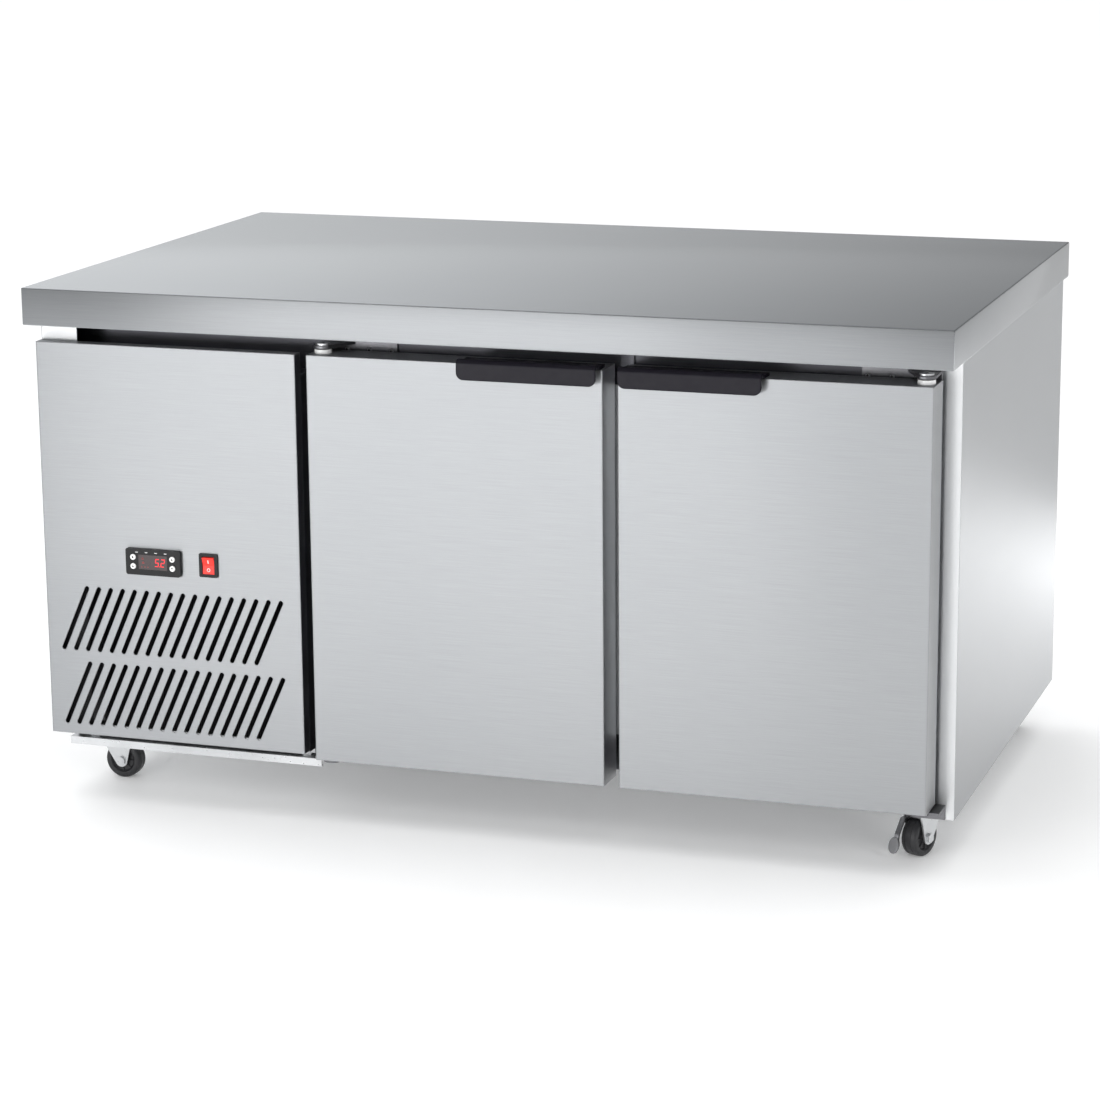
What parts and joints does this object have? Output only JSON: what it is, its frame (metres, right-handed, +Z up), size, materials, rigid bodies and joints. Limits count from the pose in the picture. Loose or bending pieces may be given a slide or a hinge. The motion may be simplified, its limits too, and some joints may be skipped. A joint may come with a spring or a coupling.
{
  "type": "undercounter refrigerator",
  "caption": "Stainless undercounter refrigerator with a flat worktop, hinged front doors with black top pulls, a slotted machine compartment at the left and swivel castors.",
  "frame": {"origin": "middle of the footprint, on the floor that the castors stand on", "axes": "+X to the right along the front, +Y to the back, +Z up; the doors face -Y"},
  "size_m": [1.2, 0.76, 0.68],
  "materials": {
    "stainless": "satin",
    "galvanised": "satin",
    "liner_steel": "satin",
    "foam": "matte",
    "board": "matte",
    "shelf_wire": "gloss",
    "black_plastic": "satin",
    "display_window": "gloss",
    "button_grey": "satin",
    "red_lens": "gloss",
    "coil_metal": "satin",
    "dark_steel": "satin",
    "fan_plastic": "satin",
    "copper": "satin",
    "seal_rubber": "matte",
    "handle_black": "satin",
    "bush_white": "satin",
    "zinc": "satin",
    "tread": "satin"
  },
  "bodies": {
    "cabinet": {"worktop": "stainless", "right_side_panel": "stainless", "left_side_panel": "stainless", "back_panel": "galvanised", "casing_panels": "galvanised", "door_frame": "stainless", "centre_mullion": "stainless", "liner_panels": "liner_steel", "foam_insulation": "foam", "worktop_board": "board", "wire_shelves": "shelf_wire", "shelf_supports": "liner_steel", "front_panel": "stainless", "controller_housing": "black_plastic", "controller_window": "display_window", "switch_frame": "black_plastic", "base_frame": "galvanised", "unit_tray": "galvanised", "condenser_coil": "coil_metal", "fan_shroud": "dark_steel", "condenser_fan_motor": "dark_steel", "compressor": "dark_steel", "refrigerant_lines": "copper", "glands": "seal_rubber", "evaporator_coil": "coil_metal", "evaporator_housing": "liner_steel", "evaporator_fan_motor": "dark_steel", "evaporator_fan_guard": "shelf_wire", "hinge_brackets": "dark_steel", "fasteners": "zinc", "castor_plates": "zinc"},
    "left_door": {"left_door_skin": "stainless", "left_door_core": "foam", "left_door_liner": "liner_steel", "left_door_gasket": "seal_rubber", "left_handle": "handle_black", "left_hinge_bushes": "bush_white"},
    "right_door": {"right_door_skin": "stainless", "right_door_core": "foam", "right_door_liner": "liner_steel", "right_door_gasket": "seal_rubber", "right_handle": "handle_black", "right_hinge_bushes": "bush_white"},
    "set_button": {"set_button": "button_grey"},
    "defrost_button": {"defrost_button": "button_grey"},
    "up_button": {"up_button": "button_grey"},
    "down_button": {"down_button": "button_grey"},
    "rocker": {"rocker": "red_lens"},
    "condenser_fan": {"condenser_fan": "fan_plastic"},
    "evaporator_fan": {"evaporator_fan": "fan_plastic"},
    "brake_pedal": {"front_right_castor_brake": "zinc"},
    "front_left_castor_fork": {"front_left_castor_fork": "zinc"},
    "front_left_castor_wheel": {"front_left_castor_wheel": "tread"},
    "front_right_castor_fork": {"front_right_castor_fork": "zinc"},
    "front_right_castor_wheel": {"front_right_castor_wheel": "tread"},
    "rear_left_castor_fork": {"rear_left_castor_fork": "zinc"},
    "rear_left_castor_wheel": {"rear_left_castor_wheel": "tread"},
    "rear_right_castor_fork": {"rear_right_castor_fork": "zinc"},
    "rear_right_castor_wheel": {"rear_right_castor_wheel": "tread"}
  },
  "joints": [
    {"name": "left_door_hinge", "type": "hinge", "parent": "cabinet", "child": "left_door", "pos_m": [-0.207, -0.334, 0.34], "axis": [0, 0, 1], "range_deg": [-95, 0]},
    {"name": "right_door_hinge", "type": "hinge", "parent": "cabinet", "child": "right_door", "pos_m": [0.558, -0.334, 0.34], "axis": [0, 0, 1], "range_deg": [0, 95]},
    {"name": "front_left_castor_swivel", "type": "hinge", "parent": "cabinet", "child": "front_left_castor_fork", "pos_m": [-0.557, -0.245, 0.06], "axis": [0, 0, 1], "continuous": true},
    {"name": "front_left_castor_roll", "type": "hinge", "parent": "front_left_castor_fork", "child": "front_left_castor_wheel", "pos_m": [-0.545, -0.245, 0.025], "axis": [0, 1, 0], "continuous": true},
    {"name": "front_right_castor_swivel", "type": "hinge", "parent": "cabinet", "child": "front_right_castor_fork", "pos_m": [0.547, -0.245, 0.06], "axis": [0, 0, 1], "continuous": true},
    {"name": "front_right_castor_roll", "type": "hinge", "parent": "front_right_castor_fork", "child": "front_right_castor_wheel", "pos_m": [0.54231, -0.25605, 0.025], "axis": [0.9205, -0.3907, 0], "continuous": true},
    {"name": "brake_pedal_tip", "type": "hinge", "parent": "front_right_castor_fork", "child": "brake_pedal", "pos_m": [0.53801, -0.26617, 0.053], "axis": [-0.9205, 0.3907, 0], "range_deg": [0, 22]},
    {"name": "rear_left_castor_swivel", "type": "hinge", "parent": "cabinet", "child": "rear_left_castor_fork", "pos_m": [-0.557, 0.31, 0.06], "axis": [0, 0, 1], "continuous": true},
    {"name": "rear_left_castor_roll", "type": "hinge", "parent": "rear_left_castor_fork", "child": "rear_left_castor_wheel", "pos_m": [-0.557, 0.322, 0.025], "axis": [-1, 0, 0], "continuous": true},
    {"name": "rear_right_castor_swivel", "type": "hinge", "parent": "cabinet", "child": "rear_right_castor_fork", "pos_m": [0.547, 0.31, 0.06], "axis": [0, 0, 1], "continuous": true},
    {"name": "rear_right_castor_roll", "type": "hinge", "parent": "rear_right_castor_fork", "child": "rear_right_castor_wheel", "pos_m": [0.547, 0.322, 0.025], "axis": [-1, 0, 0], "continuous": true},
    {"name": "set_button_press", "type": "slide", "parent": "cabinet", "child": "set_button", "axis": [0, 1, 0], "range_m": [0, 0.001], "stiffness_N_per_m": 400},
    {"name": "defrost_button_press", "type": "slide", "parent": "cabinet", "child": "defrost_button", "axis": [0, 1, 0], "range_m": [0, 0.001], "stiffness_N_per_m": 400},
    {"name": "up_button_press", "type": "slide", "parent": "cabinet", "child": "up_button", "axis": [0, 1, 0], "range_m": [0, 0.001], "stiffness_N_per_m": 400},
    {"name": "down_button_press", "type": "slide", "parent": "cabinet", "child": "down_button", "axis": [0, 1, 0], "range_m": [0, 0.001], "stiffness_N_per_m": 400},
    {"name": "rocker_tip", "type": "hinge", "parent": "cabinet", "child": "rocker", "pos_m": [-0.3616, -0.356, 0.3298], "axis": [1, 0, 0], "range_deg": [-12, 0]},
    {"name": "condenser_fan_spin", "type": "hinge", "parent": "cabinet", "child": "condenser_fan", "pos_m": [-0.412, -0.226, 0.19], "axis": [0, 1, 0], "continuous": true},
    {"name": "evaporator_fan_spin", "type": "hinge", "parent": "cabinet", "child": "evaporator_fan", "pos_m": [0.1755, 0.261, 0.445], "axis": [0, 1, 0], "continuous": true}
  ]
}
